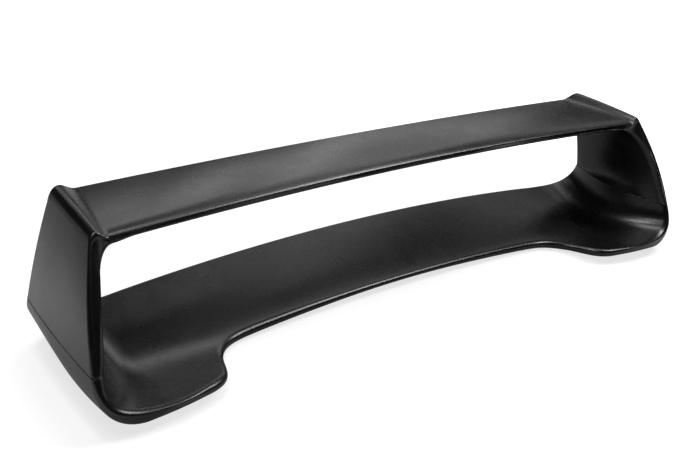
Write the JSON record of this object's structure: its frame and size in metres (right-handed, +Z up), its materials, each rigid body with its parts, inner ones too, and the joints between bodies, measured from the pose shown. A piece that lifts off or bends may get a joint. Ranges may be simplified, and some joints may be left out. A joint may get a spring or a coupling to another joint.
{
  "type": "rear boot spoiler",
  "caption": "Rear boot spoiler: a raised blade carried on curved uprights that run into a lower blade with forward lobes, fixed from beneath.",
  "frame": {"origin": "middle of the footprint, at the lowest point of the lower moulding", "axes": "+X to the right-hand end of the car, +Y to its rear, +Z up"},
  "size_m": [1.3426, 0.3084, 0.2626],
  "materials": {
    "satin_plastic": "satin black moulded plastic",
    "zinc_steel": "zinc-plated steel",
    "insert_brass": "plain turned brass",
    "foam_tape": "dark grey foam with a plain liner"
  },
  "bodies": {
    "root": {"upper_wing": "satin_plastic", "lower_base": "satin_plastic", "joint_screws": "zinc_steel", "joint_washers": "zinc_steel", "mount_inserts": "insert_brass", "foam_tape": "foam_tape"}
  },
  "joints": []
}
